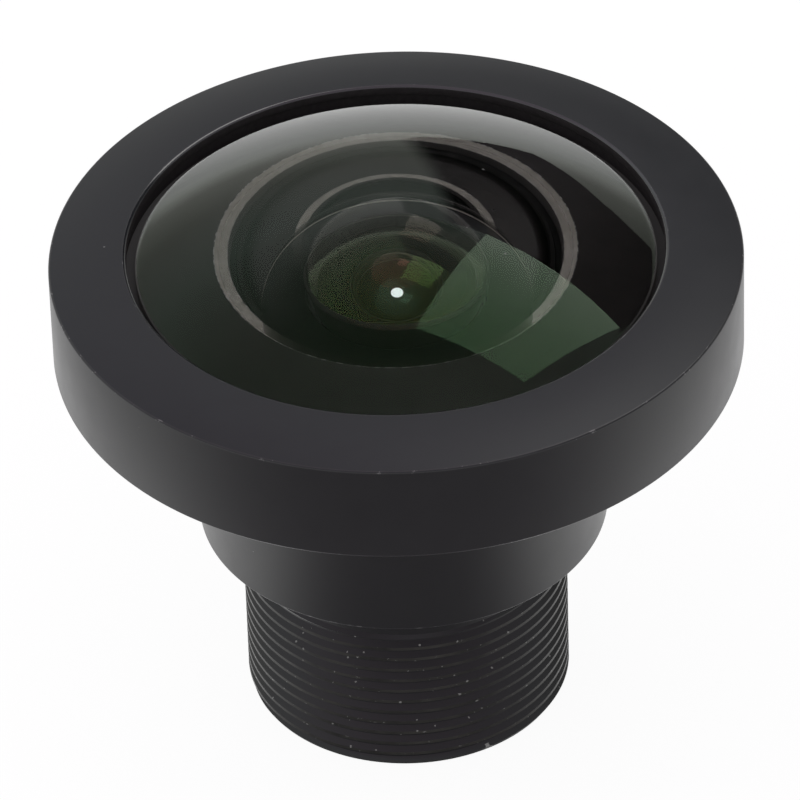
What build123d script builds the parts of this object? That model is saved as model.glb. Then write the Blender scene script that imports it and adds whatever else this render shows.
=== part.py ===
from build123d import *
import os

os.makedirs("parts", exist_ok=True)

# A fisheye board lens, in millimetres. The origin is the centre of its rear end, and +Z points to
# the front glass. Everything is turned about the Z axis, apart from the spanner slots.

# Rear mounting thread, metric 12 by 0.5, and the neck where the thread runs out. The thread's form
# is right along the axis, and each turn is a closed ridge.
mount_thread_pitch = 0.5
mount_thread_radius = 5.97
mount_thread_depth = 0.29
mount_thread_length = 6.0
neck_undercut = 0.03
neck_length = 1.8

# Collar, which stops the lens on its holder
collar_radius = 7.5
collar_length = 7.5
collar_bevel = 0.1
collar_wall = 2.25

# Head: the ring that screws over the barrel's flange, and the flange inside it
ring_radius = 12.5
ring_wall = 0.85
ring_face_rise = 0.41
ring_edge_bevel = 0.12
ring_lip_thickness = 0.36
ring_lip_bevel_width = 0.26
ring_lip_bevel_height = 0.23
ring_lip_overhang = 0.9
flange_thickness = 1.17
flange_wall = 1.14
flange_wall_height = 2.3
flange_bevel = 0.15

# Rear ring, which screws into the barrel's rear bore
rear_wall = 1.33
rear_ring_step = 0.4
rear_ring_height = 1.35
rear_ring_hole_margin = 0.2
rear_ring_slot_width = 0.9
rear_ring_slot_depth = 0.45
filter_ledge = 0.65
filter_recess_depth = 0.5
filter_thickness = 0.3

# Shares of a thread's pitch that are flat at its crest and at its root
crest_share = 0.125
root_share = 0.25

# Clearances. The two rings screw on plain walls, and the thread gap stands for their fine threads.
thread_gap = 0.06
glass_gap = 0.05
cement_gap = 0.01
filter_gap = 0.05
cut_overrun = 1.0

# Seal and washers
seal_thickness = 0.8
seal_room = 0.1
seal_gap = 0.02
front_washer_thickness = 0.12
rear_washer_thickness = 0.1
mask_thickness = 0.1

# Glass. A rise or a hollow is how far a surface's middle lies from its rim, along the axis, and
# a land is the flat ring between that rim and the element's edge.
front_element_edge = 2.53
front_element_front_land = 1.15
front_element_front_rise = 2.35
front_element_rear_land = 0.8
front_element_rear_hollow = 3.38

second_element_edge = 1.3
second_element_front_land = 0.5
second_element_front_rise = 0.92
second_element_rear_land = 2.0
second_element_rear_hollow = 1.67

third_element_edge = 1.8
third_element_front_land = 1.3
third_element_front_rise = 1.3
third_element_rear_land = 1.3
third_element_rear_hollow = 0.55

fourth_element_edge = 1.2
fourth_element_front_land = 1.1
fourth_element_front_hollow = 0.59
fourth_element_rear_land = 0.9
fourth_element_rear_rise = 0.96

doublet_land = 0.9
doublet_front_edge = 1.3
doublet_joint_rise = 0.82
doublet_rear_edge = 0.8
doublet_rear_rise = 0.76

rear_element_edge = 0.45
rear_element_land = 0.9
rear_element_rise = 0.49

# Spacers, stop and the barrel's inner web. Each spacer is as long as the glass that stands into it
# plus the gap named here.
front_spacer_step = 1.7
front_spacer_gap = 0.25
second_spacer_gap = 0.2
third_spacer_gap = 0.34
fourth_spacer_gap = 0.34
front_spacer_top_wall = 0.9
front_spacer_drop = 0.05
rim_margin = 0.1
stop_spacer_length = 0.5
stop_thickness = 0.15
stop_hole_radius = 0.9
stop_hole_bevel = 0.08
web_thickness = 0.7
web_hole_radius = 2.2

# Radii that follow
ring_bore_radius = ring_radius - ring_wall
flange_radius = ring_bore_radius - thread_gap
flange_bore_radius = flange_radius - flange_wall
front_glass_radius = flange_bore_radius - glass_gap
front_rim_radius = front_glass_radius - front_element_front_land
lip_radius = front_glass_radius - ring_lip_overhang
seal_seat_width = seal_thickness + seal_room
front_bore_radius = collar_radius - collar_wall
middle_glass_radius = front_bore_radius - glass_gap
front_spacer_radius = middle_glass_radius + front_spacer_step
front_hollow_radius = front_spacer_radius - front_element_rear_land
second_rim_radius = middle_glass_radius - second_element_front_land
second_hollow_radius = middle_glass_radius - second_element_rear_land
third_rim_radius = middle_glass_radius - third_element_front_land
third_hollow_radius = middle_glass_radius - third_element_rear_land
mount_root_radius = mount_thread_radius - mount_thread_depth
neck_radius = mount_root_radius - neck_undercut
rear_bore_radius = mount_root_radius - rear_wall
rear_glass_radius = rear_bore_radius - glass_gap
rear_ring_radius = rear_bore_radius + rear_ring_step
fourth_rim_radius = rear_glass_radius - fourth_element_rear_land
doublet_rim_radius = rear_glass_radius - doublet_land
rear_rim_radius = rear_glass_radius - rear_element_land
rear_ring_hole_radius = rear_rim_radius + rear_ring_hole_margin
filter_recess_radius = rear_ring_radius - filter_ledge

# Heights that follow, from the rear end up to the front glass
neck_bottom = mount_thread_length
collar_bottom = neck_bottom + neck_length
flange_bottom = collar_bottom + collar_length
front_seat = flange_bottom + flange_thickness
front_land_height = front_seat + front_element_edge
lip_bottom = front_land_height + front_washer_thickness
lip_top = lip_bottom + ring_lip_thickness
ring_side_top = lip_top - ring_face_rise
flange_top = front_seat + flange_wall_height

# Heights that follow, from the front seat down through the glass to the rear ring
front_spacer_bottom = front_seat - second_element_front_rise - front_spacer_gap
second_element_bottom = front_spacer_bottom - second_element_edge
mask_bottom = second_element_bottom - mask_thickness
second_spacer_bottom = mask_bottom - third_element_front_rise - second_spacer_gap
third_element_bottom = second_spacer_bottom - third_element_edge
stop_spacer_bottom = third_element_bottom - stop_spacer_length
web_top = stop_spacer_bottom - stop_thickness
web_bottom = web_top - web_thickness
fourth_element_bottom = web_bottom - fourth_element_edge
third_spacer_bottom = fourth_element_bottom - fourth_element_rear_rise - third_spacer_gap
doublet_joint = third_spacer_bottom - doublet_front_edge
doublet_bottom = doublet_joint - cement_gap - doublet_rear_edge
fourth_spacer_bottom = doublet_bottom - doublet_rear_rise - fourth_spacer_gap
rear_element_bottom = fourth_spacer_bottom - rear_element_edge
rear_ring_top = rear_element_bottom - rear_washer_thickness
rear_ring_bottom = rear_ring_top - rear_ring_height
filter_top = rear_ring_bottom + filter_recess_depth


def glass(name, radius, bottom, edge, front_land, front_rise, rear_land, rear_rise):
    # One element of glass. A rise below zero is a hollow, and a rise of zero is a flat surface.
    top = bottom + edge
    with BuildPart() as element:
        with BuildSketch(Plane.XZ):
            with BuildLine():
                if front_rise:
                    TangentArc((0, top + front_rise), (radius - front_land, top), tangent=(1, 0))
                else:
                    Line((0, top), (radius - front_land, top))
                Line((radius - front_land, top), (radius, top))
                Line((radius, top), (radius, bottom))
                Line((radius, bottom), (radius - rear_land, bottom))
                if rear_rise:
                    TangentArc((0, bottom - rear_rise), (radius - rear_land, bottom), tangent=(1, 0))
                else:
                    Line((radius - rear_land, bottom), (0, bottom))
                Line((0, bottom - rear_rise), (0, top + front_rise))
            make_face()
        revolve(axis=Axis.Z)
    element.part.label = name
    export_step(element.part, f"parts/{name}.step")


def washer(name, radius, hole_radius, bottom, height):
    # A plain flat ring, such as a spacer, a mask or a slip washer
    with BuildPart() as flat_ring:
        with BuildSketch(Plane.XY.offset(bottom)):
            Circle(radius)
            Circle(hole_radius, mode=Mode.SUBTRACT)
        extrude(amount=height)
    flat_ring.part.label = name
    export_step(flat_ring.part, f"parts/{name}.step")


# Main barrel: mounting thread, neck, collar and flange turned from one bar, with a bore from each end
flank = (1 - crest_share - root_share) / 2 * mount_thread_pitch
crest = crest_share * mount_thread_pitch
thread_turns = round(mount_thread_length / mount_thread_pitch)
thread_outline = []
for turn in range(thread_turns):
    ridge_bottom = turn * mount_thread_length / thread_turns
    thread_outline += [
        (mount_root_radius, ridge_bottom),
        (mount_thread_radius, ridge_bottom + flank),
        (mount_thread_radius, ridge_bottom + flank + crest),
        (mount_root_radius, ridge_bottom + flank + crest + flank),
    ]
with BuildPart() as main_barrel:
    with BuildSketch(Plane.XZ):
        with BuildLine():
            Polyline(
                (0, 0),
                *thread_outline,
                (mount_root_radius, neck_bottom),
                (neck_radius, neck_bottom),
                (neck_radius, collar_bottom),
                (collar_radius - collar_bevel, collar_bottom),
                (collar_radius, collar_bottom + collar_bevel),
                (collar_radius, flange_bottom),
                (flange_radius - flange_bevel, flange_bottom),
                (flange_radius, flange_bottom + flange_bevel),
                (flange_radius, flange_top - flange_bevel),
                (flange_radius - flange_bevel, flange_top),
                (0, flange_top),
                close=True,
            )
        make_face()
    revolve(axis=Axis.Z)
    with BuildSketch(Plane.XZ):
        with BuildLine():
            Polyline(
                (0, -cut_overrun),
                (rear_ring_radius + thread_gap, -cut_overrun),
                (rear_ring_radius + thread_gap, rear_element_bottom),
                (rear_bore_radius, rear_element_bottom),
                (rear_bore_radius, web_bottom),
                (web_hole_radius, web_bottom),
                (web_hole_radius, web_top),
                (front_bore_radius, web_top),
                (front_bore_radius, front_spacer_bottom - front_spacer_drop),
                (front_spacer_radius + glass_gap, front_spacer_bottom - front_spacer_drop),
                (front_spacer_radius + glass_gap, front_seat),
                (flange_bore_radius, front_seat),
                (flange_bore_radius, flange_top + cut_overrun),
                (0, flange_top + cut_overrun),
                close=True,
            )
        make_face()
    revolve(axis=Axis.Z, mode=Mode.SUBTRACT)
main_barrel.part.label = "main_barrel"
export_step(main_barrel.part, "parts/main_barrel.step")

# Front retaining ring: a cap with a shallow cone for its face, whose skirt hides the flange
with BuildPart() as front_retaining_ring:
    with BuildSketch(Plane.XZ):
        with BuildLine():
            Polyline(
                (ring_bore_radius, flange_bottom),
                (ring_radius - ring_edge_bevel, flange_bottom),
                (ring_radius, flange_bottom + ring_edge_bevel),
                (ring_radius, ring_side_top - ring_edge_bevel),
                (ring_radius - ring_edge_bevel, ring_side_top),
                (lip_radius + ring_lip_bevel_width, lip_top),
                (lip_radius, lip_top - ring_lip_bevel_height),
                (lip_radius, lip_bottom),
                (ring_bore_radius, lip_bottom),
                close=True,
            )
        make_face()
    revolve(axis=Axis.Z)
front_retaining_ring.part.label = "front_retaining_ring"
export_step(front_retaining_ring.part, "parts/front_retaining_ring.step")

# Front element: a deep meniscus with a step round its rear edge for the seal
with BuildPart() as front_element:
    with BuildSketch(Plane.XZ):
        with BuildLine():
            TangentArc(
                (0, front_land_height + front_element_front_rise),
                (front_rim_radius, front_land_height),
                tangent=(1, 0),
            )
            Polyline(
                (front_rim_radius, front_land_height),
                (front_glass_radius, front_land_height),
                (front_glass_radius, front_seat + seal_seat_width),
                (front_glass_radius - seal_seat_width, front_seat + seal_seat_width),
                (front_glass_radius - seal_seat_width, front_seat),
                (front_hollow_radius, front_seat),
            )
            TangentArc(
                (0, front_seat + front_element_rear_hollow), (front_hollow_radius, front_seat), tangent=(1, 0)
            )
            Line(
                (0, front_seat + front_element_rear_hollow),
                (0, front_land_height + front_element_front_rise),
            )
        make_face()
    revolve(axis=Axis.Z)
front_element.part.label = "front_element"
export_step(front_element.part, "parts/front_element.step")

# Seal ring, in the step round the front element
seal_radius = seal_thickness / 2
seal_centre_radius = front_glass_radius - seal_seat_width + seal_gap + seal_radius
with BuildPart() as front_seal_ring:
    with BuildSketch(Plane.XZ):
        with Locations((seal_centre_radius, front_seat + seal_gap + seal_radius)):
            Circle(seal_radius)
    revolve(axis=Axis.Z)
front_seal_ring.part.label = "front_seal_ring"
export_step(front_seal_ring.part, "parts/front_seal_ring.step")

# Slip washer between the front element and the ring's lip
washer(
    "front_slip_washer",
    front_glass_radius,
    front_rim_radius + glass_gap,
    front_land_height,
    front_washer_thickness,
)

# Front spacer, whose opening widens towards the front element
with BuildPart() as front_spacer:
    with BuildSketch(Plane.XZ):
        with BuildLine():
            Polyline(
                (second_rim_radius + rim_margin, front_spacer_bottom),
                (front_spacer_radius, front_spacer_bottom),
                (front_spacer_radius, front_seat),
                (front_spacer_radius - front_spacer_top_wall, front_seat),
                close=True,
            )
        make_face()
    revolve(axis=Axis.Z)
front_spacer.part.label = "front_spacer"
export_step(front_spacer.part, "parts/front_spacer.step")

# The front group, from the front down to the stop
glass(
    "second_element",
    middle_glass_radius,
    second_element_bottom,
    second_element_edge,
    second_element_front_land,
    second_element_front_rise,
    second_element_rear_land,
    -second_element_rear_hollow,
)
washer(
    "front_light_mask", middle_glass_radius, second_hollow_radius + rim_margin, mask_bottom, mask_thickness
)
washer(
    "second_spacer",
    middle_glass_radius,
    third_rim_radius + rim_margin,
    second_spacer_bottom,
    mask_bottom - second_spacer_bottom,
)
glass(
    "third_element",
    middle_glass_radius,
    third_element_bottom,
    third_element_edge,
    third_element_front_land,
    third_element_front_rise,
    third_element_rear_land,
    -third_element_rear_hollow,
)
washer(
    "stop_spacer",
    middle_glass_radius,
    third_hollow_radius + rim_margin,
    stop_spacer_bottom,
    stop_spacer_length,
)

# Aperture stop, a thin plate whose hole is bevelled towards the front
with BuildPart() as aperture_stop:
    with BuildSketch(Plane.XZ):
        with BuildLine():
            Polyline(
                (stop_hole_radius, web_top),
                (middle_glass_radius, web_top),
                (middle_glass_radius, stop_spacer_bottom),
                (stop_hole_radius + stop_hole_bevel, stop_spacer_bottom),
                (stop_hole_radius, stop_spacer_bottom - stop_hole_bevel),
                close=True,
            )
        make_face()
    revolve(axis=Axis.Z)
aperture_stop.part.label = "aperture_stop"
export_step(aperture_stop.part, "parts/aperture_stop.step")

# The rear group, from the stop down to the rear ring
glass(
    "fourth_element",
    rear_glass_radius,
    fourth_element_bottom,
    fourth_element_edge,
    fourth_element_front_land,
    -fourth_element_front_hollow,
    fourth_element_rear_land,
    fourth_element_rear_rise,
)
washer(
    "third_spacer",
    rear_glass_radius,
    fourth_rim_radius + rim_margin,
    third_spacer_bottom,
    fourth_element_bottom - third_spacer_bottom,
)
glass(
    "doublet_front_element",
    rear_glass_radius,
    doublet_joint,
    doublet_front_edge,
    doublet_land,
    0,
    doublet_land,
    -doublet_joint_rise,
)
glass(
    "doublet_rear_element",
    rear_glass_radius,
    doublet_bottom,
    doublet_rear_edge,
    doublet_land,
    doublet_joint_rise,
    doublet_land,
    doublet_rear_rise,
)
washer(
    "fourth_spacer",
    rear_glass_radius,
    doublet_rim_radius + rim_margin,
    fourth_spacer_bottom,
    doublet_bottom - fourth_spacer_bottom,
)
glass(
    "rear_element",
    rear_glass_radius,
    rear_element_bottom,
    rear_element_edge,
    rear_element_land,
    0,
    rear_element_land,
    rear_element_rise,
)
washer(
    "rear_slip_washer",
    rear_glass_radius,
    rear_rim_radius + rim_margin,
    rear_ring_top,
    rear_washer_thickness,
)

# Rear retaining ring, with two spanner slots and a recess for the filter
with BuildPart() as rear_retaining_ring:
    with BuildSketch(Plane.XZ):
        with BuildLine():
            Polyline(
                (filter_recess_radius, rear_ring_bottom),
                (rear_ring_radius, rear_ring_bottom),
                (rear_ring_radius, rear_ring_top),
                (rear_ring_hole_radius, rear_ring_top),
                (rear_ring_hole_radius, filter_top),
                (filter_recess_radius, filter_top),
                close=True,
            )
        make_face()
    revolve(axis=Axis.Z)
    with BuildSketch(Plane.XY.offset(rear_ring_bottom)):
        Rectangle(2 * (rear_ring_radius + cut_overrun), rear_ring_slot_width)
    extrude(amount=rear_ring_slot_depth, mode=Mode.SUBTRACT)
rear_retaining_ring.part.label = "rear_retaining_ring"
export_step(rear_retaining_ring.part, "parts/rear_retaining_ring.step")

# Infrared-cut filter, glued in the rear ring's recess
with BuildPart() as infrared_filter:
    with BuildSketch(Plane.XY.offset(filter_top - filter_thickness)):
        Circle(filter_recess_radius - filter_gap)
    extrude(amount=filter_thickness)
infrared_filter.part.label = "infrared_filter"
export_step(infrared_filter.part, "parts/infrared_filter.step")

print("overall height", round(front_land_height + front_element_front_rise, 3))
print("rear ring bottom", round(rear_ring_bottom, 3), "stop at", round(web_top, 3))
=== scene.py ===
import math

import bmesh
import bpy
from mathutils import Matrix, Vector


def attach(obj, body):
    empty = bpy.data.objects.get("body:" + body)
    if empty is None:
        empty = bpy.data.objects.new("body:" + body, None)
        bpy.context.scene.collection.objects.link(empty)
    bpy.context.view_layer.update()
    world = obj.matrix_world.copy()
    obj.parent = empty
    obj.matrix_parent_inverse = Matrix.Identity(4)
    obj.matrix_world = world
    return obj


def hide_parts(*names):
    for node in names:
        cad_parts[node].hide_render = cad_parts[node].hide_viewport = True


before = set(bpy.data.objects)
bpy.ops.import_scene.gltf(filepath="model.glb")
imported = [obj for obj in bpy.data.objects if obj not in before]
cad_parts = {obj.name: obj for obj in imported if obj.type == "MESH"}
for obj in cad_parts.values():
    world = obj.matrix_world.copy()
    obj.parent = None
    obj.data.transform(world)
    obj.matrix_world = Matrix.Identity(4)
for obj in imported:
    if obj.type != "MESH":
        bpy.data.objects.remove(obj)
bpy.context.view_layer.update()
scene = bpy.context.scene
mm = 0.001
print("frame loaded")


# small helpers for materials

def newMaterial(name):
    material = bpy.data.materials.new(name)
    material.use_nodes = True
    tree = material.node_tree
    tree.nodes.clear()
    output = tree.nodes.new("ShaderNodeOutputMaterial")
    return material, tree, output


def addNode(tree, kind, **values):
    node = tree.nodes.new("ShaderNode" + kind)
    for key, value in values.items():
        if hasattr(node, key):
            setattr(node, key, value)
        else:
            node.inputs[key].default_value = value
    return node


def joinSockets(tree, pairs):
    for source, target in pairs:
        tree.links.new(source, target)


def fillRamp(node, stops):
    ramp = node.color_ramp
    while len(ramp.elements) > 1:
        ramp.elements.remove(ramp.elements[-1])
    ramp.elements[0].position = stops[0][0]
    ramp.elements[0].color = (*stops[0][1], 1)
    for position, colour in stops[1:]:
        ramp.elements.new(position).color = (*colour, 1)


def times(tree, first, second):
    # a Math node that multiplies a socket by a socket or by a number
    node = addNode(tree, "Math", operation="MULTIPLY")
    tree.links.new(first, node.inputs[0])
    if isinstance(second, float):
        node.inputs[1].default_value = second
    else:
        tree.links.new(second, node.inputs[1])
    return node.outputs["Value"]


def limitedRange(tree, source, low, high):
    # 0 below the low value and 1 above the high one, with a soft step between
    node = addNode(tree, "MapRange", interpolation_type="SMOOTHSTEP")
    node.inputs["From Min"].default_value = low
    node.inputs["From Max"].default_value = high
    tree.links.new(source, node.inputs["Value"])
    return node.outputs["Result"]


def speckMask(tree, vector, scale, size, share):
    # a few cells of a fine pattern hold one small uneven speck each
    wobble = addNode(tree, "TexNoise", Scale=scale * 2.5, Detail=2.0)
    bend = addNode(tree, "VectorMath", operation="SCALE")
    bend.inputs["Scale"].default_value = 0.25 / scale  # a quarter of a cell
    moved = addNode(tree, "VectorMath", operation="ADD")
    cells = addNode(tree, "TexVoronoi", Scale=scale)
    near = addNode(tree, "Math", operation="LESS_THAN")
    near.inputs[1].default_value = size
    parts = addNode(tree, "SeparateColor")
    rare = addNode(tree, "Math", operation="GREATER_THAN")
    rare.inputs[1].default_value = 1 - share
    joinSockets(tree, [
        (vector, wobble.inputs["Vector"]),
        (wobble.outputs["Color"], bend.inputs[0]),
        (vector, moved.inputs[0]),
        (bend.outputs["Vector"], moved.inputs[1]),
        (moved.outputs["Vector"], cells.inputs["Vector"]),
        (cells.outputs["Distance"], near.inputs[0]),
        (cells.outputs["Color"], parts.inputs["Color"]),
        (parts.outputs["Red"], rare.inputs[0]),
    ])
    return times(tree, near.outputs["Value"], rare.outputs["Value"])


def anodisedFinish(name, look):
    # black anodised metal: mottled tone, blasted grain, turned lines round Z, pale specks and bare nicks
    material, tree, output = newMaterial(name)
    coords = addNode(tree, "TexCoord")
    shader = addNode(tree, "BsdfPrincipled")
    shader.inputs["Specular IOR Level"].default_value = look["shine"]
    mottle = addNode(tree, "TexNoise", Scale=look["mottleScale"], Detail=5.0, Roughness=0.6)
    grain = addNode(tree, "TexNoise", Scale=look["grainScale"], Detail=3.0, Roughness=0.7)
    tone = addNode(tree, "ValToRGB")
    fillRamp(tone, [(0.3, look["darkTone"]), (0.7, look["paleTone"])])
    joinSockets(tree, [
        (coords.outputs["Object"], mottle.inputs["Vector"]),
        (coords.outputs["Object"], grain.inputs["Vector"]),
        (mottle.outputs["Fac"], tone.inputs["Fac"]),
    ])

    # turned lines: rings that follow radius and height
    split = addNode(tree, "SeparateXYZ")
    across = addNode(tree, "CombineXYZ")
    radius = addNode(tree, "VectorMath", operation="LENGTH")
    rings = addNode(tree, "CombineXYZ")
    lines = addNode(tree, "TexNoise", Scale=look["lineScale"], Detail=2.0, Roughness=0.5)
    joinSockets(tree, [
        (coords.outputs["Object"], split.inputs["Vector"]),
        (split.outputs["X"], across.inputs["X"]),
        (split.outputs["Y"], across.inputs["Y"]),
        (across.outputs["Vector"], radius.inputs[0]),
        (radius.outputs["Value"], rings.inputs["X"]),
        (split.outputs["Z"], rings.inputs["Z"]),
        (rings.outputs["Vector"], lines.inputs["Vector"]),
    ])

    # wear: bare metal shows where a finer noise is high, and dust lies anywhere
    wear = addNode(tree, "TexNoise", Scale=look["wearScale"], Detail=4.0, Roughness=0.7)
    tree.links.new(coords.outputs["Object"], wear.inputs["Vector"])
    worn = limitedRange(tree, wear.outputs["Fac"], look["wearFrom"], look["wearFrom"] + look["wearSoftness"])
    for place, size in look.get("nicks", []):  # a dent at one place, whose edge the wear noise makes ragged
        edge = [share * size * mm for share in look["nickEdge"]]
        gap = addNode(tree, "VectorMath", operation="DISTANCE")
        gap.inputs[1].default_value = [value * mm for value in place]
        ragged = addNode(tree, "Math", operation="MULTIPLY_ADD")
        ragged.inputs[1].default_value = look["nickRagged"] * size * mm
        either = addNode(tree, "Math", operation="MAXIMUM")
        joinSockets(tree, [
            (coords.outputs["Object"], gap.inputs[0]),
            (wear.outputs["Fac"], ragged.inputs[0]),
            (gap.outputs["Value"], ragged.inputs[2]),
            (worn, either.inputs[0]),
            (limitedRange(tree, ragged.outputs["Value"], *edge), either.inputs[1]),
        ])
        worn = either.outputs["Value"]
    bare = addNode(tree, "Mix", data_type="RGBA")
    bare.inputs["B"].default_value = (*look["wearTone"], 1)
    dust = speckMask(tree, coords.outputs["Object"], look["dustScale"], look["dustSize"], look["dustShare"])
    dusted = addNode(tree, "Mix", data_type="RGBA")
    dusted.inputs["B"].default_value = (*look["dustTone"], 1)
    joinSockets(tree, [
        (worn, bare.inputs["Factor"]),
        (tone.outputs["Color"], bare.inputs["A"]),
        (dust, dusted.inputs["Factor"]),
        (bare.outputs["Result"], dusted.inputs["A"]),
        (dusted.outputs["Result"], shader.inputs["Base Color"]),
    ])

    rough = addNode(tree, "MapRange")
    rough.inputs["To Min"].default_value = look["roughness"] - look["roughnessSpread"]
    rough.inputs["To Max"].default_value = look["roughness"] + look["roughnessSpread"]
    heights = addNode(tree, "Math", operation="MULTIPLY_ADD")
    heights.inputs[1].default_value = look["lineShare"]
    bump = addNode(tree, "Bump", Strength=look["bumpStrength"], Distance=look["bumpDepth"] * mm)
    joinSockets(tree, [
        (mottle.outputs["Fac"], rough.inputs["Value"]),
        (rough.outputs["Result"], shader.inputs["Roughness"]),
        (lines.outputs["Fac"], heights.inputs[0]),
        (grain.outputs["Fac"], heights.inputs[2]),
        (heights.outputs["Value"], bump.inputs["Height"]),
        (bump.outputs["Normal"], shader.inputs["Normal"]),
        (shader.outputs["BSDF"], output.inputs["Surface"]),
    ])
    return material


def coatedGlass(name, look):
    # clear glass whose coating mirrors little head on, in the coating's own colour
    material, tree, output = newMaterial(name)
    shader = addNode(tree, "BsdfPrincipled")
    shader.inputs["Base Color"].default_value = (*look["body"], 1)
    shader.inputs["Roughness"].default_value = 0.0
    shader.inputs["IOR"].default_value = look["ior"]
    shader.inputs["Transmission Weight"].default_value = 1.0
    shader.inputs["Specular Tint"].default_value = (*look["coating"], 1)
    if "dustHaze" not in look:
        joinSockets(tree, [(shader.outputs["BSDF"], output.inputs["Surface"])])
        return material

    # a wiped film of dust: streaks over one patch, and specks anywhere
    coords = addNode(tree, "TexCoord")
    turned = addNode(tree, "Mapping")
    turned.inputs["Rotation"].default_value = (0, 0, math.radians(look["streakTurn"]))
    turned.inputs["Scale"].default_value = (1, look["streakStretch"], 1)
    streaks = addNode(tree, "TexNoise", Scale=look["streakScale"], Detail=3.0, Roughness=0.7)
    patch = addNode(tree, "VectorMath", operation="DISTANCE")
    patch.inputs[1].default_value = [value * mm for value in look["patchMiddle"]]
    joinSockets(tree, [
        (coords.outputs["Object"], turned.inputs["Vector"]),
        (turned.outputs["Vector"], streaks.inputs["Vector"]),
        (coords.outputs["Object"], patch.inputs[0]),
    ])
    inPatch = limitedRange(tree, patch.outputs["Value"], *[value * mm for value in look["patchFade"]])
    streaked = limitedRange(tree, streaks.outputs["Fac"], *look["streakRange"])
    haze = times(tree, times(tree, streaked, inPatch), look["dustHaze"])
    specks = speckMask(tree, coords.outputs["Object"], look["speckScale"], look["speckSize"], look["speckShare"])
    total = addNode(tree, "Math", operation="ADD")
    dust = addNode(tree, "BsdfDiffuse", Color=(*look["dustTone"], 1))
    mix = addNode(tree, "MixShader")
    joinSockets(tree, [
        (haze, total.inputs[0]),
        (times(tree, specks, look["speckHaze"]), total.inputs[1]),
        (total.outputs["Value"], mix.inputs["Fac"]),
        (shader.outputs["BSDF"], mix.inputs[1]),
        (dust.outputs["BSDF"], mix.inputs[2]),
        (mix.outputs["Shader"], output.inputs["Surface"]),
    ])
    return material


def thinGlass(name, look):
    # glass deep in the barrel, which lets light straight through
    material, tree, output = newMaterial(name)
    clear = addNode(tree, "BsdfTransparent", Color=(*look["body"], 1))
    mirror = addNode(tree, "BsdfGlossy", Color=(*look["coating"], 1), Roughness=look["roughness"])
    share = addNode(tree, "Fresnel", IOR=look["ior"])
    mix = addNode(tree, "MixShader")
    joinSockets(tree, [
        (share.outputs["Fac"], mix.inputs["Fac"]),
        (clear.outputs["BSDF"], mix.inputs[1]),
        (mirror.outputs["BSDF"], mix.inputs[2]),
        (mix.outputs["Shader"], output.inputs["Surface"]),
    ])
    return material


def dullFinish(name, look):
    # paint, ground glass, rubber and film: a noisy tone, a noisy roughness and a fine bump
    material, tree, output = newMaterial(name)
    coords = addNode(tree, "TexCoord")
    noise = addNode(tree, "TexNoise", Scale=look["scale"], Detail=6.0, Roughness=0.65)
    tone = addNode(tree, "ValToRGB")
    fillRamp(tone, [(look.get("darkFrom", 0.35), look["darkTone"]), (look.get("paleFrom", 0.65), look["paleTone"])])
    shader = addNode(tree, "BsdfPrincipled")
    shader.inputs["Specular IOR Level"].default_value = look["shine"]
    rough = addNode(tree, "MapRange")
    spread = 0.06  # how far the roughness strays either way
    rough.inputs["To Min"].default_value = look["roughness"] - spread
    rough.inputs["To Max"].default_value = look["roughness"] + spread
    bump = addNode(tree, "Bump", Strength=0.4, Distance=look["bumpDepth"] * mm)
    joinSockets(tree, [
        (coords.outputs["Object"], noise.inputs["Vector"]),
        (noise.outputs["Fac"], tone.inputs["Fac"]),
        (tone.outputs["Color"], shader.inputs["Base Color"]),
        (noise.outputs["Fac"], rough.inputs["Value"]),
        (rough.outputs["Result"], shader.inputs["Roughness"]),
        (noise.outputs["Fac"], bump.inputs["Height"]),
        (bump.outputs["Normal"], shader.inputs["Normal"]),
        (shader.outputs["BSDF"], output.inputs["Surface"]),
    ])
    return material


# small helpers for shapes

sharpAngle = 32  # degrees, past which an edge is shaded sharp
tolerance = 0.01  # millimetres, within which a face's middle counts as on a wall or a crest


def outlineVerts(bm, points):
    # one open line of (radius, height) points, in millimetres
    verts = [bm.verts.new((r * mm, 0, z * mm)) for r, z in points]
    for first, second in zip(verts, verts[1:]):
        bm.edges.new((first, second))
    return verts


def linkedEdges(verts):
    # the edges at some vertices, each once
    return list(dict.fromkeys(edge for vert in verts for edge in vert.link_edges))


def spinRound(bm, verts, steps):
    bmesh.ops.spin(bm, geom=verts + linkedEdges(verts), cent=(0, 0, 0), axis=(0, 0, 1),
                   angle=2 * math.pi, steps=steps, use_merge=True)
    bmesh.ops.remove_doubles(bm, verts=bm.verts, dist=1e-7)


def bevelCorners(bm, width, lowest=-1.0, least=20):
    # rounds the edges above one height that turn by more than the least angle, in the worn finish with its painted
    # highlight
    corners = [edge for edge in bm.edges
               if len(edge.link_faces) == 2 and edge.verts[0].co.z > lowest * mm
               and edge.calc_face_angle() > math.radians(least)]
    rounded = bmesh.ops.bevel(bm, geom=corners, offset=width * mm, offset_type="OFFSET", affect="EDGES",
                              segments=2, profile=0.5, material=-1, clamp_overlap=True)
    for face in rounded["faces"]:
        face.material_index = 1


def finishPiece(bm, name, materials, body, nodes):
    bmesh.ops.recalc_face_normals(bm, faces=bm.faces)
    for face in bm.faces:
        face.smooth = True
    for edge in bm.edges:
        if len(edge.link_faces) == 2 and edge.calc_face_angle() > math.radians(sharpAngle):
            edge.smooth = False
    mesh = bpy.data.meshes.new(name)
    bm.to_mesh(mesh)
    bm.free()
    piece = bpy.data.objects.new(name, mesh)
    scene.collection.objects.link(piece)
    for material in materials:
        mesh.materials.append(material)
    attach(piece, body)
    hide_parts(*nodes)
    return piece


# metal finishes: the worn ones are for corners, where their paler tone is a painted highlight, and the thread's
# crests have their own, painted pale as a highlight

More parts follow.
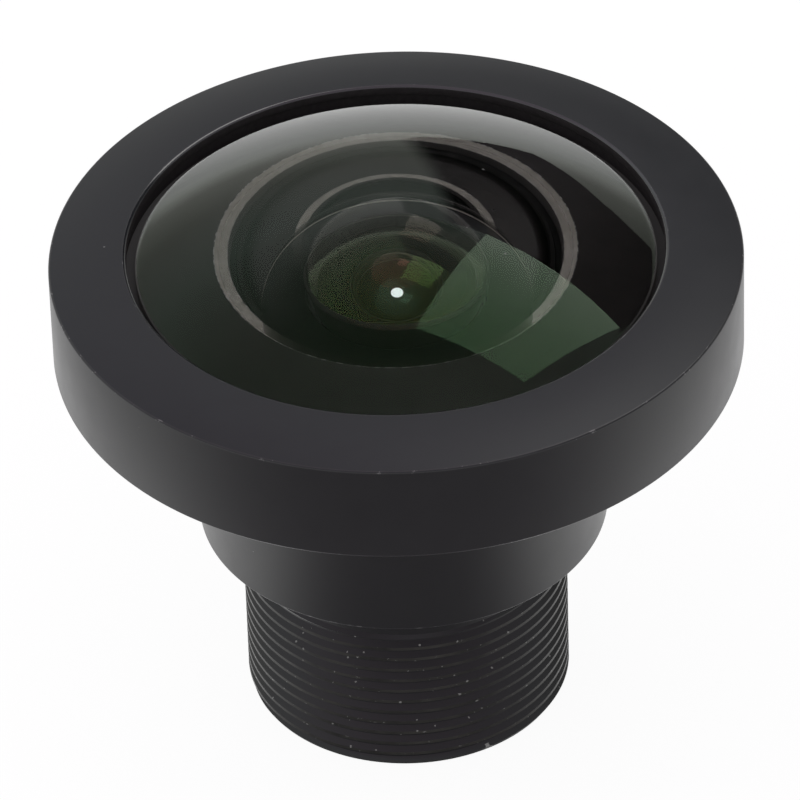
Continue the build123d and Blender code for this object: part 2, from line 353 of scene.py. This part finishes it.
anodised = {
    "shine": 0.56, "roughness": 0.33, "roughnessSpread": 0.05,
    "darkTone": (0.0048, 0.0052, 0.0064), "paleTone": (0.007, 0.0075, 0.0088),
    "mottleScale": 900.0, "grainScale": 22000.0, "lineScale": 26000.0, "lineShare": 0.6,
    "bumpStrength": 0.25, "bumpDepth": 0.004,
    "wearScale": 2600.0, "wearFrom": 0.9, "wearSoftness": 0.06, "wearTone": (0.16, 0.16, 0.16),
    "dustScale": 2400.0, "dustSize": 0.09, "dustShare": 0.02, "dustTone": (0.28, 0.28, 0.27),
}
# corners: real wear shows more bare metal, and the paler tones are a painted edge highlight
worn = {"wearFrom": 0.56, "darkTone": (0.02, 0.02, 0.022), "paleTone": (0.03, 0.03, 0.033)}
# the face's paler tones are painted light: the same anodising as the sides, made lighter on the top face where light
# falls
faceTonesPaintedLight = {"shine": 0.42, "roughness": 0.42,
             "darkTone": (0.0145, 0.0166, 0.0205), "paleTone": (0.0173, 0.0196, 0.0237)}
barrelMetal = anodisedFinish("barrelMetal", anodised)
barrelWornPaintedHighlight = anodisedFinish("barrelWornPaintedHighlight", {**anodised, **worn})
ringFacePaintedLight = anodisedFinish("ringFacePaintedLight", {**anodised, **faceTonesPaintedLight})
ringSide = anodisedFinish("ringSide", anodised)
# the shiny chamfer shares the face's paler tones, which are painted light
lipMetal = anodisedFinish("lipMetal", {**anodised, **faceTonesPaintedLight, "shine": 1.0, "roughness": 0.14, "bumpStrength": 0.1})
ringWornPaintedHighlight = anodisedFinish("ringWornPaintedHighlight", {**anodised, **worn, "wearFrom": 0.6})
# places of the larger nicks on the thread, and their sizes, in millimetres
nicks = [((2.77, -5.21, 0.18), 0.14), ((2.91, -5.13, 0.11), 0.09), ((-5.50, -2.13, 2.23), 0.07),
         ((0.56, -5.87, 4.11), 0.08), ((0.62, -5.87, 3.58), 0.08), ((0.41, -5.89, 5.70), 0.05),
         ((3.61, -4.67, 3.01), 0.07), ((3.31, -4.89, 3.07), 0.06), ((2.54, -5.33, 2.03), 0.06)]
threadLook = {
    **anodised, "nicks": nicks, "nickRagged": 2.4, "nickEdge": (1.95, 1.8), "wearTone": (0.35, 0.35, 0.34),
    "dustShare": 0.22, "dustScale": 3200.0, "dustSize": 0.13,
}
threadMetal = anodisedFinish("threadMetal", threadLook)
# the crests' paler tone is a painted highlight; their wear, nicks and dust are real
threadCrestPaintedHighlight = anodisedFinish("threadCrestPaintedHighlight", {
    **threadLook, "shine": 0.3, "mottleScale": 520.0, "darkTone": (0.014, 0.014, 0.013),
    "paleTone": (0.058, 0.056, 0.051), "wearFrom": 0.64, "wearScale": 5200.0, "dustShare": 0.25, "dustSize": 0.15,
})
spacerMetal = anodisedFinish("spacerMetal", {
    **anodised, "shine": 0.3, "darkTone": (0.005, 0.005, 0.005), "paleTone": (0.008, 0.008, 0.008), "dustShare": 0.0,
})

# glass, paint, rubber and film
denseGlass = {"body": (0.995, 1.0, 0.99), "ior": 1.8}
yellowerGlass = {"body": (0.995, 1.0, 0.98), "ior": 1.8}
clearGlass = {"body": (1.0, 1.0, 1.0), "ior": 1.8}
glassDust = {
    "dustHaze": 0.02, "dustTone": (0.75, 0.75, 0.72), "patchMiddle": (4.2, 3.4, 20.5), "patchFade": (4.2, 1.68),
    "streakTurn": -25.0, "streakStretch": 4.0, "streakScale": 1100.0, "streakRange": (0.5, 0.8),
    "speckScale": 1500.0, "speckSize": 0.07, "speckShare": 0.035, "speckHaze": 0.35,
}
frontGlass = coatedGlass("frontGlass", {**denseGlass, **glassDust, "coating": (0.07, 0.165, 0.07)})
frontRearGlass = coatedGlass("frontRearGlass", {**denseGlass, "coating": (0.05, 0.026, 0.006)})
secondGlass = coatedGlass("secondGlass", {**yellowerGlass, "coating": (0.09, 0.18, 0.03)})
secondRearGlass = coatedGlass("secondRearGlass", {**yellowerGlass, "coating": (0.25, 0.09, 0.06)})
innerGlass = coatedGlass("innerGlass", {**clearGlass, "ior": 1.6, "coating": (0.1, 0.16, 0.13)})
thirdGlass = coatedGlass("thirdGlass", {**clearGlass, "coating": (0.08, 0.16, 0.11)})
rearGlass = thinGlass("rearGlass", {
    "body": (1.0, 1.0, 1.0), "ior": 1.2, "coating": (0.4, 0.55, 0.7), "roughness": 0.02,
})
filterGlass = thinGlass("filterGlass", {
    "body": (0.93, 0.99, 0.98), "ior": 1.3, "coating": (0.95, 0.4, 0.35), "roughness": 0.02,
})
groundGlass = dullFinish("groundGlass", {
    "scale": 1800.0, "darkTone": (0.4, 0.39, 0.33), "paleTone": (0.54, 0.53, 0.47),
    "shine": 0.2, "roughness": 0.7, "bumpDepth": 0.004,
})
chippedGlass = dullFinish("chippedGlass", {
    "scale": 5200.0, "darkTone": (0.07, 0.07, 0.065), "paleTone": (0.55, 0.55, 0.52),
    "darkFrom": 0.5, "paleFrom": 0.56, "shine": 0.3, "roughness": 0.6, "bumpDepth": 0.004,
})
edgePaint = dullFinish("edgePaint", {
    "scale": 700.0, "darkTone": (0.0128, 0.0105, 0.0095), "paleTone": (0.0178, 0.015, 0.0135),
    "shine": 0.3, "roughness": 0.45, "bumpDepth": 0.001,
})
sealRubber = dullFinish("sealRubber", {
    "scale": 3000.0, "darkTone": (0.01, 0.01, 0.01), "paleTone": (0.018, 0.018, 0.018),
    "shine": 0.4, "roughness": 0.6, "bumpDepth": 0.004,
})
film = {"scale": 5000.0, "darkTone": (0.005, 0.005, 0.005), "paleTone": (0.008, 0.008, 0.008),
        "shine": 0.2, "roughness": 0.6, "bumpDepth": 0.002}
blackFilm = dullFinish("blackFilm", film)
# a paler copy of the black film for the ring's opening wall and the washer; its extra tone is painted light on the
# shaded lip
lipFilmPaintedLight = dullFinish("lipFilmPaintedLight", {**film, "darkTone": (0.03, 0.027, 0.028), "paleTone": (0.042, 0.038, 0.039)})
print("materials made")


# front retaining ring: a sloping face, an open middle and a thin lip

ringSize = {
    "bore": 11.65, "bottom": 15.19, "outer": 12.5, "edgeBevel": 0.12, "sideTop": 19.07,
    "lipTop": 19.48, "lipBottom": 19.12, "lipEdge": 9.8, "opening": 9.7, "lipDrop": 0.06, "lipLean": 0.02,
    "sideBevel": 0.05, "cornerBevel": 0.025, "steps": 288,
}


def makeRing(size):
    bm = bmesh.new()
    verts = outlineVerts(bm, [
        (size["bore"], size["bottom"]),
        (size["outer"] - size["edgeBevel"], size["bottom"]),
        (size["outer"], size["bottom"] + size["edgeBevel"]),
        (size["outer"], size["sideTop"] - size["sideBevel"]),
        (size["outer"] - size["sideBevel"], size["sideTop"]),
        (size["lipEdge"], size["lipTop"]),
        (size["opening"], size["lipTop"] - size["lipDrop"]),
        (size["opening"] - size["lipLean"], size["lipBottom"]),
        (size["bore"], size["lipBottom"]),
    ])
    bm.edges.new((verts[-1], verts[0]))
    spinRound(bm, verts, size["steps"])
    bevelCorners(bm, size["cornerBevel"])
    bm.normal_update()
    for face in bm.faces:  # opening wall in the paler film, its extra tone painted light; shiny chamfer; worn bottom edge with a painted highlight; and the sides apart from the face, the face's paler tone being painted light
        centre = face.calc_center_median()
        radius = Vector((centre.x, centre.y)).length / mm
        if radius < size["opening"] + tolerance:
            face.material_index = 2
        elif radius < size["lipEdge"] and centre.z / mm > size["lipTop"] - size["lipDrop"]:
            face.material_index = 4
        elif radius > size["outer"] - size["edgeBevel"] and centre.z / mm < size["bottom"] + size["edgeBevel"]:
            face.material_index = 1
        elif abs(face.normal.z) < 0.5 and face.material_index == 0:
            face.material_index = 3
    ring = finishPiece(bm, "frontRetainingRing", [ringFacePaintedLight, ringWornPaintedHighlight, lipFilmPaintedLight, ringSide, lipMetal], "front_ring",
                       ["front_retaining_ring"])
    ring.visible_glossy = False  # so the glass mirrors the bright surroundings right up to its rim


makeRing(ringSize)
print("front ring made")


# main barrel, with its cut thread

barrelSize = {
    "pitch": 0.5, "crestRadius": 5.97, "rootRadius": 5.77, "crestShare": 0.25, "rootShare": 0.14,
    "turns": 14, "stepsPerTurn": 144, "threadTop": 6.0, "neckBottom": 6.02, "neckRadius": 5.65,
    "leadRadius": 5.84, "leadHeight": 0.22, "runOut": 0.24,
    "cornerBevel": 0.03, "bevelAngle": 30, "bevelFrom": 6.5, "steps": 256,
    "outside": [(5.65, 7.72), (7.4, 7.72), (7.5, 7.82), (7.5, 15.3), (11.44, 15.3), (11.59, 15.45),
                (11.59, 18.62), (11.44, 18.77), (10.45, 18.77)],
    "inside": [(10.45, 16.47), (6.95, 16.47), (6.95, 15.25), (5.25, 15.25), (5.25, 9.95), (2.2, 9.95),
               (2.2, 9.25), (4.35, 9.25), (4.35, 3.09), (4.81, 3.09), (4.81, 0.0)],
}


def loopAt(bm, height):
    # the open edges that lie at one height
    return [edge for edge in bm.edges
            if edge.is_boundary and all(abs(vert.co.z - height * mm) < 2e-7 for vert in edge.verts)]


def makeThread(bm, size):
    pitch, root, crest = size["pitch"], size["rootRadius"], size["crestRadius"]
    flank = (1 - size["crestShare"] - size["rootShare"]) / 2 * pitch
    flat = size["crestShare"] * pitch
    verts = outlineVerts(bm, [
        (root, -pitch), (crest, flank - pitch), (crest, flank + flat - pitch),
        (root, 2 * flank + flat - pitch), (root, 0),
    ])
    steps = size["stepsPerTurn"]
    bmesh.ops.spin(bm, geom=verts + linkedEdges(verts), cent=(0, 0, 0), axis=(0, 0, 1),
                   angle=2 * math.pi * size["turns"], steps=steps * size["turns"],
                   dvec=(0, 0, pitch * mm / steps))
    bmesh.ops.remove_doubles(bm, verts=bm.verts, dist=1e-6)
    top = size["threadTop"]
    cuts = [0, size["leadHeight"] / 2, size["leadHeight"], top - size["runOut"], top - size["runOut"] / 2, top]
    for height in cuts:
        bmesh.ops.bisect_plane(bm, geom=bm.verts[:] + bm.edges[:] + bm.faces[:], dist=1e-8,
                               plane_co=(0, 0, height * mm), plane_no=(0, 0, 1),
                               clear_inner=height == 0, clear_outer=height == top)
    for vert in bm.verts:  # the lead-in at the end, and the run-out into the neck
        height = vert.co.z / mm
        lead = size["leadRadius"] + height / size["leadHeight"] * (crest - size["leadRadius"])
        runOut = size["neckRadius"] + (top - height) / size["runOut"] * (crest - size["neckRadius"])
        radius = Vector((vert.co.x, vert.co.y)).length / mm
        limit = min(lead, runOut)
        if radius > limit:
            vert.co.x *= limit / radius
            vert.co.y *= limit / radius
    for face in bm.faces:  # crests painted pale as a highlight over dark flanks and grooves
        centre = face.calc_center_median()
        onCrest = Vector((centre.x, centre.y)).length / mm > crest - tolerance
        face.material_index = 3 if onCrest else 2


def makeBarrel(size):
    bm = bmesh.new()
    makeThread(bm, size)
    turned = outlineVerts(bm, [(size["neckRadius"], size["neckBottom"])] + size["outside"] + size["inside"])
    spinRound(bm, turned, size["steps"])
    bmesh.ops.bridge_loops(bm, edges=loopAt(bm, 0))  # the rear end, then a narrow band between thread and neck
    bmesh.ops.bridge_loops(bm, edges=loopAt(bm, size["threadTop"]) + loopAt(bm, size["neckBottom"]))
    bevelCorners(bm, size["cornerBevel"], size["bevelFrom"], size["bevelAngle"])
    barrel = finishPiece(bm, "mainBarrel", [barrelMetal, barrelWornPaintedHighlight, threadMetal, threadCrestPaintedHighlight], "lens_barrel",
                         ["main_barrel"])
    barrel.visible_glossy = False  # as for the ring: its flange stands behind the glass's rim


makeBarrel(barrelSize)
print("barrel made")


# glass elements: each is spun from its two arcs, (apex, rim radius, rise), and the lands round them

glassSizes = {
    "frontElement": {"node": "front_element", "slot": "front_glass", "finishes": [frontGlass, frontRearGlass],
                     "front": (21.35, 9.33, 2.394), "rear": (20.8, 5.84, 3.16), "arcSteps": 56, "steps": 256,
                     "edge": [(9.38, 18.91), (9.38, 18.53), (10.4, 18.53), (10.4, 17.37), (9.5, 17.37), (9.5, 17.98),
                              (6.08, 17.98), (6.04, 17.95)],
                     "chipped": (6.035, 6.09), "ground": (5.84, 6.035), "bandsAbove": 17.6},
    "secondElement": {"node": "second_element", "finishes": [secondGlass, secondRearGlass],
                      "front": (18.2, 3.95, 0.7), "rear": (17.0, 3.2, 2.61),
                      "edge": [(4.0, 17.46), (4.1, 17.3), (4.1, 15.3), (5.2, 15.3), (5.2, 14.0), (3.2, 14.0)]},
    "thirdElement": {"node": "third_element", "finishes": [thirdGlass, thirdGlass],
                     "front": (13.2, 3.9, 0.8), "rear": (10.9, 3.9, 0.3),
                     "edge": [(5.2, 12.4), (5.2, 10.6)]},
    "fourthElement": {"node": "fourth_element", "finishes": [innerGlass, innerGlass],
                      "front": (8.66, 3.2, -0.59), "rear": (7.09, 3.4, -0.96),
                      "edge": [(4.3, 9.25), (4.3, 8.05)]},
    "doubletFront": {"node": "doublet_front_element", "finishes": [rearGlass, rearGlass],
                     "front": (6.75, 3.4, 0), "rear": (6.27, 3.4, 0.82),
                     "edge": [(4.3, 6.75), (4.3, 5.45)]},
    "doubletRear": {"node": "doublet_rear_element", "finishes": [rearGlass, rearGlass],
                    "front": (6.26, 3.4, 0.82), "rear": (3.88, 3.4, -0.76),
                    "edge": [(4.3, 5.44), (4.3, 4.64)]},
    "rearElement": {"node": "rear_element", "finishes": [innerGlass, innerGlass],
                    "front": (3.54, 3.4, 0), "rear": (2.6, 3.4, -0.49),
                    "edge": [(4.3, 3.54), (4.3, 3.09)]},
}


def arcHeight(arc, radius):
    # the height of a surface at one radius. A rise below zero curves up from the middle.
    apex, rim, rise = arc
    if rise == 0:
        return apex
    bend = (rim ** 2 + rise ** 2) / (2 * abs(rise))
    return apex - math.copysign(bend - math.sqrt(max(bend ** 2 - radius ** 2, 0)), rise)


def arcTo(bm, arc, steps):
    # an edge line from a surface's middle to its rim, which gives the rim's vertex
    apex, rim, rise = arc
    first = bm.verts.new((0, 0, apex * mm))
    if rise == 0:
        last = bm.verts.new((rim * mm, 0, apex * mm))
        bm.edges.new((first, last))
        return last
    bend = (rim ** 2 + rise ** 2) / (2 * abs(rise))
    side = math.copysign(1, rise)
    swept = bmesh.ops.spin(bm, geom=[first], cent=(0, 0, (apex - side * bend) * mm), axis=(0, 1, 0),
                           angle=side * math.asin(rim / bend), steps=steps)
    return [item for item in swept["geom_last"] if isinstance(item, bmesh.types.BMVert)][0]


def makeGlass(name, size):
    bm = bmesh.new()
    last = arcTo(bm, size["front"], size.get("arcSteps", 32))
    rearRim = arcTo(bm, size["rear"], size.get("arcSteps", 32))
    for r, z in size["edge"]:
        vert = bm.verts.new((r * mm, 0, z * mm))
        bm.edges.new((last, vert))
        last = vert
    bm.edges.new((last, rearRim))
    spinRound(bm, list(bm.verts), size.get("steps", 160))
    for face in bm.faces:  # polished front and rear, blackened edges, and the ground bands
        centre = face.calc_center_median()
        radius = Vector((centre.x, centre.y)).length / mm
        face.material_index = 2
        for index, side in enumerate(("front", "rear")):
            if radius < size[side][1] and abs(centre.z / mm - arcHeight(size[side], radius)) < 2 * tolerance:
                face.material_index = index
        if face.material_index == 2 and centre.z / mm > size.get("bandsAbove", 0):
            for index, band in ((3, "ground"), (4, "chipped")):
                low, high = size.get(band, (0, 0))
                if low < radius < high:
                    face.material_index = index
    finishes = size["finishes"] + [edgePaint, groundGlass, chippedGlass]
    finishPiece(bm, name, finishes, "lens_barrel", [size["node"]])


for glassName, glassSize in glassSizes.items():
    makeGlass(glassName, glassSize)
print("glass made")


# spacer behind the front glass, the slip washer over its shoulder, and the stop with its small hole

spacerOutline = [(4.3, 15.3), (6.9, 15.3), (6.9, 16.47), (9.4, 16.47), (9.4, 17.97), (6.25, 17.97), (5.95, 17.42),
                 (4.5, 16.2), (4.3, 16.0)]
washerOutline = [(9.78, 18.54), (10.38, 18.54), (10.38, 19.11), (9.78, 19.11)]
stopOutline = [(0.5, 9.98), (0.5, 10.02), (0.62, 10.1), (5.2, 10.1), (5.2, 9.95), (0.62, 9.95)]


def makeTurned(name, points, material, node, body="lens_barrel", steps=192):
    bm = bmesh.new()
    verts = outlineVerts(bm, points)
    bm.edges.new((verts[-1], verts[0]))
    spinRound(bm, verts, steps)
    return finishPiece(bm, name, [material], body, [node])


makeTurned("frontSpacer", spacerOutline, spacerMetal, "front_spacer")
makeTurned("apertureStop", stopOutline, blackFilm, "aperture_stop")
# the washer wears the paler film, whose extra tone is painted light
washer = makeTurned("frontSlipWasher", washerOutline, lipFilmPaintedLight, "front_slip_washer", "front_washer")
washer.visible_glossy = False
print("turned pieces made")


# the nodes that stay as they are get their finishes

nodeFinish = {
    "second_spacer": spacerMetal, "stop_spacer": spacerMetal, "third_spacer": spacerMetal,
    "fourth_spacer": spacerMetal, "rear_retaining_ring": barrelMetal, "front_seal_ring": sealRubber,
    "rear_slip_washer": blackFilm, "front_light_mask": blackFilm, "infrared_filter": filterGlass,
}
for nodeName, finish in nodeFinish.items():
    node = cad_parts[nodeName]
    node.data.materials.clear()
    node.data.materials.append(finish)
print("nodes finished")


# floor, studio and camera

def stageObject(name, bm, material, hidden):
    mesh = bpy.data.meshes.new(name)
    bm.to_mesh(mesh)
    bm.free()
    item = bpy.data.objects.new(name, mesh)
    scene.collection.objects.link(item)
    mesh.materials.append(material)
    for kind in hidden:
        setattr(item, "visible_" + kind, False)


def stageCard(name, corners, material, hidden):
    bm = bmesh.new()
    bm.faces.new([bm.verts.new(corner) for corner in corners])
    stageObject(name, bm, material, hidden)


def backgroundRay(tree, glossyShare=None):
    # 1 for the rays that should find a plain white background
    path = addNode(tree, "LightPath")
    seen = addNode(tree, "Math", operation="MAXIMUM")
    either = addNode(tree, "Math", operation="MAXIMUM")
    glossy = path.outputs["Is Glossy Ray"]
    joinSockets(tree, [
        (path.outputs["Is Camera Ray"], seen.inputs[0]),
        (glossy if glossyShare is None else times(tree, glossy, glossyShare), seen.inputs[1]),
        (seen.outputs["Value"], either.inputs[0]),
        (path.outputs["Is Transmission Ray"], either.inputs[1]),
    ])
    return either.outputs["Value"]


def makeFloor(look):
    material, tree, output = newMaterial("paleFloor")
    matt = addNode(tree, "BsdfDiffuse", Color=(*look["matt"], 1))
    faint = addNode(tree, "BsdfDiffuse", Color=(*look["faint"], 1))
    glow = addNode(tree, "Emission", Strength=look["glow"])
    lit = addNode(tree, "AddShader")
    mix = addNode(tree, "MixShader")
    facing = addNode(tree, "NewGeometry")  # from below, the floor lets the underside be seen
    clear = addNode(tree, "BsdfTransparent")
    above = addNode(tree, "MixShader")
    # in front of the object, where the camera's side is unlit, metal mirrors the matt floor itself
    coords = addNode(tree, "TexCoord")
    aim = addNode(tree, "VectorMath", operation="NORMALIZE")
    split = addNode(tree, "SeparateXYZ")
    joinSockets(tree, [
        (coords.outputs["Object"], aim.inputs[0]),
        (aim.outputs["Vector"], split.inputs["Vector"]),
    ])
    beside = limitedRange(tree, split.outputs["Y"], *look["frontFade"])
    joinSockets(tree, [
        (backgroundRay(tree, beside), mix.inputs["Fac"]),
        (matt.outputs["BSDF"], mix.inputs[1]),
        (glow.outputs["Emission"], lit.inputs[0]),
        (faint.outputs["BSDF"], lit.inputs[1]),
        (lit.outputs["Shader"], mix.inputs[2]),
        (facing.outputs["Backfacing"], above.inputs["Fac"]),
        (mix.outputs["Shader"], above.inputs[1]),
        (clear.outputs["BSDF"], above.inputs[2]),
        (above.outputs["Shader"], output.inputs["Surface"]),
    ])
    half = look["side"]
    stageCard("floor", [(-half, -half, 0), (half, -half, 0), (half, half, 0), (-half, half, 0)], material, [])


def makeWorld(level):
    world = bpy.data.worlds.new("studio")
    scene.world = world
    world.use_nodes = True
    tree = world.node_tree
    tree.nodes.clear()
    output = tree.nodes.new("ShaderNodeOutputWorld")
    soft = addNode(tree, "Background", Strength=level)
    white = addNode(tree, "Background", Strength=1.0)
    mix = addNode(tree, "MixShader")
    for background in (soft, white):
        background.inputs["Color"].default_value = (1, 1, 1, 1)
    joinSockets(tree, [
        (backgroundRay(tree), mix.inputs["Fac"]),
        (soft.outputs["Background"], mix.inputs[1]),
        (white.outputs["Background"], mix.inputs[2]),
        (mix.outputs["Shader"], output.inputs["Surface"]),
    ])


def makeTent(look):
    # the cloth tent overhead, by the sine of the elevation: white low down, greyer higher up
    material, tree, output = newMaterial("tentCloth")
    coords = addNode(tree, "TexCoord")
    aim = addNode(tree, "VectorMath", operation="NORMALIZE")
    split = addNode(tree, "SeparateXYZ")
    ramp = addNode(tree, "ValToRGB")
    fillRamp(ramp, look["tones"])
    glow = addNode(tree, "Emission")
    lean = addNode(tree, "Math", operation="MULTIPLY_ADD")  # brighter to the left
    lean.inputs[1].default_value = -look["leftLean"]
    lean.inputs[2].default_value = 1.0
    joinSockets(tree, [
        (coords.outputs["Object"], aim.inputs[0]),
        (aim.outputs["Vector"], split.inputs["Vector"]),
        (split.outputs["X"], lean.inputs[0]),
        (lean.outputs["Value"], glow.inputs["Strength"]),
        (split.outputs["Z"], ramp.inputs["Fac"]),
        (ramp.outputs["Color"], glow.inputs["Color"]),
        (glow.outputs["Emission"], output.inputs["Surface"]),
    ])
    bm = bmesh.new()
    bmesh.ops.create_uvsphere(bm, u_segments=48, v_segments=24, radius=look["radius"])
    low = look["radius"] * look["tones"][0][0]
    bmesh.ops.bisect_plane(bm, geom=bm.verts[:] + bm.edges[:] + bm.faces[:], plane_co=(0, 0, low),
                           plane_no=(0, 0, 1), clear_inner=True)
    stageObject("tent", bm, material, ["camera", "shadow"])


def skyPoint(azimuth, elevation, distance):
    a, e = math.radians(azimuth), math.radians(elevation)
    return Vector((math.sin(a) * math.cos(e), math.cos(a) * math.cos(e), math.sin(e))) * distance


def makeFlag(look):
    # a black board behind the object to the right, with a soft left edge
    material, tree, output = newMaterial("flagCloth")
    coords = addNode(tree, "TexCoord")
    along = addNode(tree, "VectorMath", operation="DOT_PRODUCT")
    along.inputs[1].default_value = [value / look["distance"] for value in look["softAim"]]
    dark = addNode(tree, "Emission", Strength=look["glow"])
    clear = addNode(tree, "BsdfTransparent")
    mix = addNode(tree, "MixShader")
    joinSockets(tree, [
        (coords.outputs["Object"], along.inputs[0]),
        (limitedRange(tree, along.outputs["Value"], *look["softFrom"]), mix.inputs["Fac"]),
        (clear.outputs["BSDF"], mix.inputs[1]),
        (dark.outputs["Emission"], mix.inputs[2]),
        (mix.outputs["Shader"], output.inputs["Surface"]),
    ])
    corners = [skyPoint(a, e, look["distance"]) for a, e in look["corners"]]
    stageCard("blackFlag", corners, material, ["camera", "diffuse", "shadow"])


def makeSoftbox(look):
    # each corner is given by its slopes from the middle of the floor
    high = look["height"]
    material, tree, output = newMaterial("softboxGlow")
    glow = addNode(tree, "Emission", Color=(*look["colour"], 1), Strength=look["glow"])
    joinSockets(tree, [(glow.outputs["Emission"], output.inputs["Surface"])])
    stageCard("softbox", [(x * high, y * high, high) for x, y in look["corners"]], material, ["camera", "diffuse"])


makeFloor({"side": 1.5, "glow": 0.93, "matt": (0.7, 0.7, 0.7), "faint": (0.14, 0.14, 0.14),
           "frontFade": (-0.98, -0.2)})
makeWorld(level=0.8)
makeTent({"radius": 1.0, "leftLean": 0.25,
          "tones": [(0.05, (1.0, 1.0, 1.0)), (0.1, (0.97, 0.97, 0.95)), (0.19, (0.55, 0.55, 0.52)),
                    (0.35, (0.43, 0.43, 0.41)), (0.6, (0.63, 0.65, 0.67)), (0.85, (0.54, 0.46, 0.53)),
                    (1.0, (0.57, 0.48, 0.55))]})
makeFlag({"distance": 0.45, "glow": 0.02, "softAim": (0.974, 0, -0.225), "softFrom": (-0.045, 0.005),
          "corners": [(-2, 13), (3, 9.6), (13, 8.7), (24, 17), (30, 19.5), (36, 21), (62, 24), (62, 41), (-2, 41)]})
makeSoftbox({"height": 0.5, "glow": 2.6, "colour": (1.0, 0.99, 0.97),
             "corners": [(0.362, 1.05), (0.910, 0.637), (0.437, 0.085), (0.056, 0.262)]})

cameraSize = {"place": (-0.02, -239.72, 201.335), "lens": 377.2, "elevation": 38.24, "roll": 1.87}


def makeCamera(size):
    data = bpy.data.cameras.new("camera")
    data.lens = size["lens"]
    data.sensor_width = 36
    data.clip_start, data.clip_end = 0.01, 20
    camera = bpy.data.objects.new("camera", data)
    scene.collection.objects.link(camera)
    e, roll = math.radians(size["elevation"]), math.radians(size["roll"])
    ahead = Vector((0, math.cos(e), -math.sin(e)))
    levelUp = Vector((0, math.sin(e), math.cos(e)))
    levelRight = Vector((1, 0, 0))
    right = math.cos(roll) * levelRight - math.sin(roll) * levelUp
    up = math.sin(roll) * levelRight + math.cos(roll) * levelUp
    turn = Matrix((right, up, -ahead)).transposed().to_4x4()
    camera.matrix_world = Matrix.Translation([value * mm for value in size["place"]]) @ turn
    scene.camera = camera


makeCamera(cameraSize)
scene.view_settings.view_transform = "Standard"
print("studio made")
